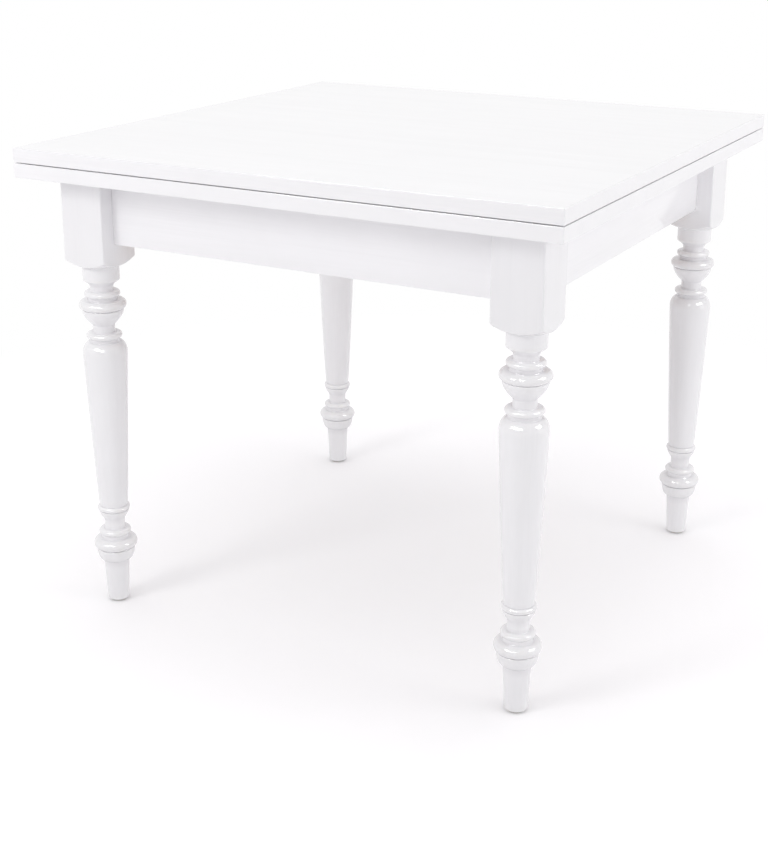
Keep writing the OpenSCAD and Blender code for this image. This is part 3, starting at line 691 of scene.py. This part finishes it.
def leg_surface(name, s, centre, half, foot_z, top_z):
    """A leg as (radius, height) over direction and row. Below the block each row is a circle of
    the turned outline. On the block's shoulder each column follows the turned dome out to where
    it meets the sawn side, and then the side up to the top. The joins are rounded.
    """
    block_z = top_z - s.block_h
    r, z, hollow, crest = softened_outline(turning_members(s, foot_z, block_z), s.soft, GROOVE)
    keep = z < block_z - s.edge
    r, z = np.append(r[keep], s.collar_r), np.append(z[keep], block_z - s.edge)
    hollow, crest = np.append(hollow[keep], 0), np.append(crest[keep], 0)
    turn = directions()
    side = square_radius(turn, half, s.arris)
    reach = half * math.sqrt(2) + 1 * MM - s.collar_r

    def on_dome(radius):
        """The shoulder at these radii: it rises by a power of the share of the way out."""
        rise = s.shoulder_h * ((radius - s.collar_r) / reach) ** SHOULDER_POWER
        return np.stack([radius, block_z + rise], -1)

    def at(radius, height):
        """One point in each direction at that radius and height."""
        return np.stack(np.broadcast_arrays(radius, height, turn)[:2], -1)

    collar, start = at(s.collar_r, block_z - s.edge), at(s.collar_r, block_z)
    lip = on_dome(np.full_like(turn, s.collar_r + s.edge))
    meet = on_dome(side)
    inner = on_dome(side - s.edge)
    u = np.linspace(0, 1, 8)[1:-1, None]
    across = on_dome(s.collar_r + s.edge + (side - 2 * s.edge - s.collar_r) * u)
    outer = meet + [0, s.edge]
    high = at(side, top_z - s.edge)
    up = outer + (high - outer) * np.linspace(0, 1, 6)[1:-1, None, None]
    top_corner, top_in = at(side, top_z), at(side - s.edge, top_z)
    parts = [
        np.repeat(np.stack([r, z], -1)[:-1, None], len(turn), axis=1),
        rounded_join(collar, start, lip, 5),
        across,
        rounded_join(inner, meet, outer, 7),
        up,
        rounded_join(high, top_corner, top_in, 5),
        at(half / 2, top_z)[None],
        at(0, top_z)[None],
    ]
    grid = np.concatenate(parts)
    points = np.stack([
        centre.x + grid[..., 0] * np.cos(turn),
        centre.y + grid[..., 0] * np.sin(turn),
        grid[..., 1],
    ], -1)
    plain = np.zeros(len(grid) - len(hollow) + 1)
    shades = {
        key: np.repeat(np.append(values[:-1], plain)[:, None], len(turn), axis=1)
        for key, values in (("hollow", hollow), ("crest", crest))
    }
    return smooth_surface(name, points, shades)


def crosshead_screws(name, s, places, turns, point):
    """Countersunk screws as (radius, height) over direction and row: a shank, a cone out to the
    head's rim, and a face that sinks inside the arms of a cross, less so farther out. Each is
    turned by its own angle, and it points down the way that `point` says, -1 or 1.
    """
    way = columns_round(64)
    soft = 0.06 * MM
    cone = s.head_r - s.shank_r
    stem = np.array([
        (0, -s.screw_l), (0.2 * s.shank_r, -s.screw_l), (s.shank_r, -s.screw_l + s.shank_r),
        (s.shank_r, -cone), (s.head_r - 2 * soft, -2 * soft), (s.head_r - soft, -soft),
        (s.head_r - soft, -0.3 * soft),
    ])
    face = np.linspace(s.head_r - 1.5 * soft, 0, 26)
    r = np.append(stem[:, 0], face)[:, None] * np.ones_like(way)
    x, y = r * np.cos(way), r * np.sin(way)
    near, far = np.minimum(abs(x), abs(y)), np.maximum(abs(x), abs(y))
    within_arms = np.clip((s.cross_w - near) / (2 * soft) + 0.5, 0, 1)
    within_reach = np.clip((s.cross_r - far) / (4 * soft), 0, 1)
    sink = within_arms * within_reach * (1 - 0.4 * far / s.cross_r) * s.cross_d
    sink[:len(stem)] = 0
    z = np.append(stem[:, 1], np.zeros_like(face))[:, None] - sink
    turns = turns[:, None, None]
    turned = np.stack([
        x * np.cos(turns) - y * np.sin(turns),
        x * np.sin(turns) + y * np.cos(turns),
        z + 0 * turns,
    ], -1)
    return smooth_surface(name, places[:, None, None] + turned * (1, point, point))


def threaded_bolts(name, s, starts, axes):
    """Bolts as (radius, distance) over direction and row. The radius falls by the thread's depth
    once in each turn and pitch, with a wave that fades in, and it falls at the chamfered end.
    """
    way = columns_round(36)
    cut, step, rim = s.bolt_l - s.thread_l, s.pitch / 12, 0.15 * MM
    t = np.append(np.linspace(0, cut, 6), np.arange(cut + step, s.bolt_l, step))
    t = np.append(t, s.bolt_l)
    wave = 0.5 - 0.5 * np.cos(math.tau * t[:, None] / s.pitch - way)
    fade = np.clip((t - cut) / s.pitch, 0, 1)[:, None]
    chamfer = np.clip((t - s.bolt_l) / MM + 1, 0, 1)[:, None] * s.thread_d
    r = s.bolt_r - np.maximum(s.thread_d * fade * wave, chamfer)
    r = np.concatenate([0 * r[:1], r[:1] - rim, r, r[-1:] - rim, 0 * r[:1]])
    t = np.concatenate([t[:1], t[:1], t, t[-1:], t[-1:]])[:, None, None]
    up = np.array((0, 0, 1))
    side = np.cross(up, axes)
    ring = (r * np.cos(way))[None, ..., None] * side[:, None, None]
    ring = ring + (r * np.sin(way))[None, ..., None] * up
    return smooth_surface(name, starts[:, None, None] + ring + t * axes[:, None, None])


def domed_buffers(name, places, radius, height):
    """Buffers as (radius, height) over direction and row: a flat foot, then a quarter of a rounded
    square up to the middle, cos(a) ** 0.5 out and sin(a) ** 0.7 up.
    """
    way = columns_round(40)
    a = np.linspace(0, math.pi / 2, 24)
    r = radius * np.append((0, 0.97), np.clip(np.cos(a), 0, 1) ** 0.5)
    r[-1] = 0
    z = height * np.append((0, 0), np.sin(a) ** 0.7)
    r, z = r[:, None], z[:, None]
    grid = np.stack(np.broadcast_arrays(r * np.cos(way), r * np.sin(way), z), -1)
    return smooth_surface(name, places[:, None, None] + grid)


def softened_copy(prefix, node, width):
    """A merged copy of a node, named for it, with its sharp edges sanded to that width."""
    name = prefix + node
    made = bpy.data.objects.new(name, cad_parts[node].data.copy())
    bpy.context.scene.collection.objects.link(made)
    mesh = bmesh.new()
    mesh.from_mesh(made.data)
    bmesh.ops.remove_doubles(mesh, verts=mesh.verts, dist=0.001 * MM)
    flat = math.radians(0.2)
    bmesh.ops.dissolve_limit(mesh, angle_limit=flat, verts=mesh.verts, edges=mesh.edges)
    mesh.to_mesh(made.data)
    mesh.free()
    made.data.shade_smooth()
    edge = made.modifiers.new("sanded edges", "BEVEL")
    edge.width = width
    edge.segments = 3
    edge.limit_method = "ANGLE"
    edge.angle_limit = math.radians(35)
    edge.harden_normals = True
    return made


def lacquer(axis):
    """The lacquer over wood whose grain lies along that axis. The boards lie along x and y, and
    they are painted whiter than the legs: painted light, for the brighter light on the leaves and
    aprons.
    """
    f = settings("table_finishes")
    grain = {"x": (0.02, 1, 1), "y": (1, 0.02, 1), "z": (1, 1, 0.02)}[axis]
    white = f.lacquer_leg if axis == "z" else f.lacquer_board_painted_lit
    return material_for("sprayed_white_lacquer_" + axis, sprayed_lacquer, grain, white)


class TABLE_OT_legs(bpy.types.Operator):
    """Turn the four legs, each with its square block"""

    bl_idname = "table.legs"
    bl_label = "Legs"

    def execute(self, context):
        sizes = settings("table_turning")
        for corner in CORNERS:
            node = "leg_" + corner
            low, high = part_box(node)
            half = (high.x - low.x) / 2
            leg = leg_surface("turned_" + node, sizes, (low + high) / 2, half, low.z, high.z)
            finish_piece(leg, "base", lacquer("z"), node)
        return {"FINISHED"}


class TABLE_OT_aprons(bpy.types.Operator):
    """Sand and lacquer the four aprons"""

    bl_idname = "table.aprons"
    bl_label = "Aprons"

    def execute(self, context):
        edge = settings("table_boards").apron_edge
        for side in SIDES:
            node = "apron_" + side
            apron = softened_copy("lacquered_", node, edge)
            grain = "x" if side in ("front", "rear") else "y"
            finish_piece(apron, "base", lacquer(grain), node)
        return {"FINISHED"}


class TABLE_OT_leaves(bpy.types.Operator):
    """Lacquer both leaves and their lippings"""

    bl_idname = "table.leaves"
    bl_label = "Leaves"

    def execute(self, context):
        for node in ("lower_leaf", "lower_lipping", "upper_leaf", "upper_lipping"):
            dress_node(node, lacquer("x"))
        return {"FINISHED"}


class TABLE_OT_inner_wood(bpy.types.Operator):
    """Plane the corner blocks, guides and runners inside the frame"""

    bl_idname = "table.inner_wood"
    bl_label = "Inner wood"

    def execute(self, context):
        boards = settings("table_boards")
        eighth = math.pi / 4
        for corner in CORNERS:
            # The grain of a corner block runs across the corner
            turn = -eighth if corner in ("front_left", "rear_right") else eighth
            name = "planed_beech_falling" if turn < 0 else "planed_beech_rising"
            node = "corner_block_" + corner
            block = softened_copy("planed_", node, boards.block_edge)
            finish_piece(block, "base", material_for(name, planed_beech, turn), node)
        beech = material_for("planed_beech", planed_beech, 0)
        for part, body in (("guide", "base"), ("runner", "lower_leaf")):
            for side in ("left", "right"):
                node = f"{part}_{side}"
                rail = softened_copy("planed_", node, boards.rail_edge)
                finish_piece(rail, body, beech, node)
        return {"FINISHED"}


class TABLE_OT_hinges(bpy.types.Operator):
    """Finish the brass hinges, their pins and screws"""

    bl_idname = "table.hinges"
    bl_label = "Hinges"

    def execute(self, context):
        brass = material_for("rolled_brass", rolled_brass)
        for node in ("lower_hinges", "upper_hinges", "hinge_pins"):
            dress_node(node, brass)
        s = settings("table_fittings")
        for leaf, point in (("lower", 1), ("upper", -1)):
            node = leaf + "_hinge_screws"
            low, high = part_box(node)
            reach = high.x - s.head_r - s.screw_gap
            spots = np.add.outer((-reach, 0, reach), s.screw_gap * np.arange(-1, 2)).ravel()
            face = high.z if point > 0 else low.z
            places = np.array([(x, (low.y + high.y) / 2, face) for x in spots])
            # Screws stop where they bite: no two crosses stand alike
            turns = np.arange(len(places)) * SCREW_TURN
            screws = crosshead_screws("crosshead_screws_" + leaf, s, places, turns, point)
            finish_piece(screws, leaf + "_leaf", brass, node)
        return {"FINISHED"}


class TABLE_OT_fasteners(bpy.types.Operator):
    """Finish the bolts, washers, nuts and screws of the frame"""

    bl_idname = "table.fasteners"
    bl_label = "Fasteners"

    def execute(self, context):
        zinc = material_for("zinc_plated_steel", zinc_plate)
        for node in ("hanger_washers", "hanger_nuts", "corner_screws", "runner_screws"):
            dress_node(node, zinc)
        s = settings("table_fittings")
        low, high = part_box("hanger_bolts")
        inset = s.bolt_r / math.sqrt(2)
        middle = (0, 0, (low.z + high.z) / 2)
        starts = CORNER_SIGNS * (high.x - inset, high.y - inset, 0) + middle
        bolts = threaded_bolts("threaded_hanger_bolts", s, starts, -CORNER_SIGNS / math.sqrt(2))
        finish_piece(bolts, "base", zinc, "hanger_bolts")
        return {"FINISHED"}


class TABLE_OT_small_parts(bpy.types.Operator):
    """Finish the glides, stops, felt and buffers"""

    bl_idname = "table.small_parts"
    bl_label = "Small parts"

    def execute(self, context):
        dress_node("foot_glides", material_for("moulded_nylon", moulded_nylon))
        dress_node("slide_stops", material_for("moulded_rubber", moulded_rubber))
        for node in ("felt_left", "felt_right"):
            dress_node(node, material_for("pressed_wool_felt", wool_felt))
        radius = settings("table_fittings").buffer_r
        low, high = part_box("leaf_buffers")
        places = CORNER_SIGNS * (high.x - radius, high.y - radius, 0) + (0, 0, low.z)
        buffers = domed_buffers("domed_leaf_buffers", places, radius, high.z - low.z)
        milky = material_for("cast_milky_plastic", milky_plastic)
        finish_piece(buffers, "lower_leaf", milky, "leaf_buffers")
        return {"FINISHED"}


def floor_paper(tree, at):
    """Seamless pale paper. The object is lit by a plain matt floor. What the camera sees of the
    paper is its own light and shade with white added, less where the object covers the sky, and
    all white farther out.
    """
    s = settings("table_studio")
    matt = add(tree, "BsdfDiffuse", {"Color": rgba(s.floor)})
    seen = add(tree, "BsdfDiffuse", {"Color": rgba(s.floor_seen)})
    # How much of the sky a spot sees within 0.9 m
    sky = add(tree, "AmbientOcclusion", {"Distance": 0.9}, samples=8).outputs["AO"]
    white = add(tree, "Emission", {"Color": rgba(s.floor_lit), "Strength": sky})
    near = add(tree, "AddShader", {0: seen, 1: white})
    far = add(tree, "Emission", {"Color": (1, 1, 1, 1), "Strength": 1.0})
    away = add(tree, "VectorMath", {0: at}, operation="LENGTH")
    fade = add(tree, "MapRange", {"Value": away, **FLOOR_FADE})
    backdrop = add(tree, "MixShader", {0: fade, 1: near, 2: far})
    return add(tree, "MixShader", {0: background_rays(tree), 1: matt, 2: backdrop})


def background_rays(tree):
    """1 for a ray that shows the background: from the camera, in gloss or through glass."""
    path = add(tree, "LightPath").outputs
    rays = {0: path["Is Camera Ray"], 1: path["Is Glossy Ray"]}
    both = add(tree, "Math", rays, operation="MAXIMUM")
    return add(tree, "Math", {0: both, 1: path["Is Transmission Ray"]}, operation="MAXIMUM")


def make_world(strength):
    """Even light from all round, and plain white where the camera sees past the floor."""
    world = bpy.data.worlds.new("studio")
    world.use_nodes = True
    tree = world.node_tree
    tree.nodes.clear()
    light = add(tree, "Background", {"Color": (1, 1, 1, 1), "Strength": strength})
    white = add(tree, "Background", {"Color": (1, 1, 1, 1), "Strength": 1.0})
    both = add(tree, "MixShader", {0: background_rays(tree), 1: light, 2: white})
    add(tree, "OutputWorld", {"Surface": both})
    bpy.context.scene.world = world


def make_lamp(name, at, size, watts):
    """A rectangular lamp that faces the middle of the table."""
    lamp = bpy.data.lights.new(name, "AREA")
    lamp.shape = "RECTANGLE"
    lamp.size, lamp.size_y = size
    lamp.energy = watts
    made = bpy.data.objects.new(name, lamp)
    made.location = at
    made.rotation_euler = (Vector(LAMP_AIM) - Vector(at)).to_track_quat("-Z", "Y").to_euler()
    bpy.context.scene.collection.objects.link(made)
    return made


def make_camera(s):
    """The camera at the photograph's place, with a small shift of its lens."""
    camera = bpy.data.objects.new("camera", bpy.data.cameras.new("camera"))
    bpy.context.scene.collection.objects.link(camera)
    turn = Matrix.Rotation(s.yaw, 3, "Z") @ Matrix.Rotation(math.pi / 2 - s.pitch, 3, "X")
    turn = turn @ Matrix.Rotation(s.roll, 3, "Z")
    camera.matrix_world = Matrix.Translation(s.camera_at) @ turn.to_4x4()
    camera.data.sensor_width = 36
    camera.data.lens = s.lens
    camera.data.shift_y = s.lens_shift
    camera.data.dof.use_dof = False
    bpy.context.scene.camera = camera


class TABLE_OT_studio(bpy.types.Operator):
    """Set up the floor, the lamps and the camera"""

    bl_idname = "table.studio"
    bl_label = "Studio"

    def execute(self, context):
        s = settings("table_studio")
        mesh = bpy.data.meshes.new("floor")
        mesh.from_pydata((FLOOR_REACH * CORNER_SIGNS).tolist(), [], [(0, 1, 3, 2)])
        mesh.materials.append(material_for("seamless_paper", floor_paper))
        floor = bpy.data.objects.new("floor", mesh)
        context.scene.collection.objects.link(floor)
        make_world(s.sky)
        make_lamp("top_lamp", s.top_at, s.top_size, s.top)
        make_lamp("key_lamp", s.key_at, s.key_size, s.key)
        make_lamp("wall_lamp", s.wall_at, s.wall_size, s.wall)
        for name, at in (("near", s.near_at), ("front", s.front_at), ("right", s.right_at)):
            glint = make_lamp(name + "_glint", at, s.glint_size, s.glint)
            glint.visible_diffuse = False
        make_camera(s)
        context.scene.view_settings.view_transform = "Standard"
        return {"FINISHED"}


OPERATORS = (
    TABLE_OT_legs,
    TABLE_OT_aprons,
    TABLE_OT_leaves,
    TABLE_OT_inner_wood,
    TABLE_OT_hinges,
    TABLE_OT_fasteners,
    TABLE_OT_small_parts,
    TABLE_OT_studio,
)


class TABLE_PT_panel(bpy.types.Panel):
    """Lists the table's pieces and their settings"""

    bl_label = "Flip-top table"
    bl_space_type = "VIEW_3D"
    bl_region_type = "UI"
    bl_category = "Table"

    def draw(self, context):
        for operator in OPERATORS:
            self.layout.operator(operator.bl_idname)
        for name, group in GROUPS.items():
            box = self.layout.box()
            box.label(text=group.__doc__)
            for key in group.__annotations__:
                box.prop(getattr(context.scene, name), key)


def register():
    """Adds the settings, the operators and the panel."""
    for cls in (*GROUPS.values(), *OPERATORS, TABLE_PT_panel):
        bpy.utils.register_class(cls)
    for name, group in GROUPS.items():
        setattr(bpy.types.Scene, name, PointerProperty(type=group))


def unregister():
    """Takes them out again."""
    for name in GROUPS:
        delattr(bpy.types.Scene, name)
    for cls in reversed((*GROUPS.values(), *OPERATORS, TABLE_PT_panel)):
        bpy.utils.unregister_class(cls)


def main():
    """Makes every piece and the studio."""
    register()
    bpy.ops.table.legs()
    bpy.ops.table.aprons()
    bpy.ops.table.leaves()
    bpy.ops.table.inner_wood()
    bpy.ops.table.hinges()
    bpy.ops.table.fasteners()
    bpy.ops.table.small_parts()
    bpy.ops.table.studio()


if __name__ == "__main__":
    main()
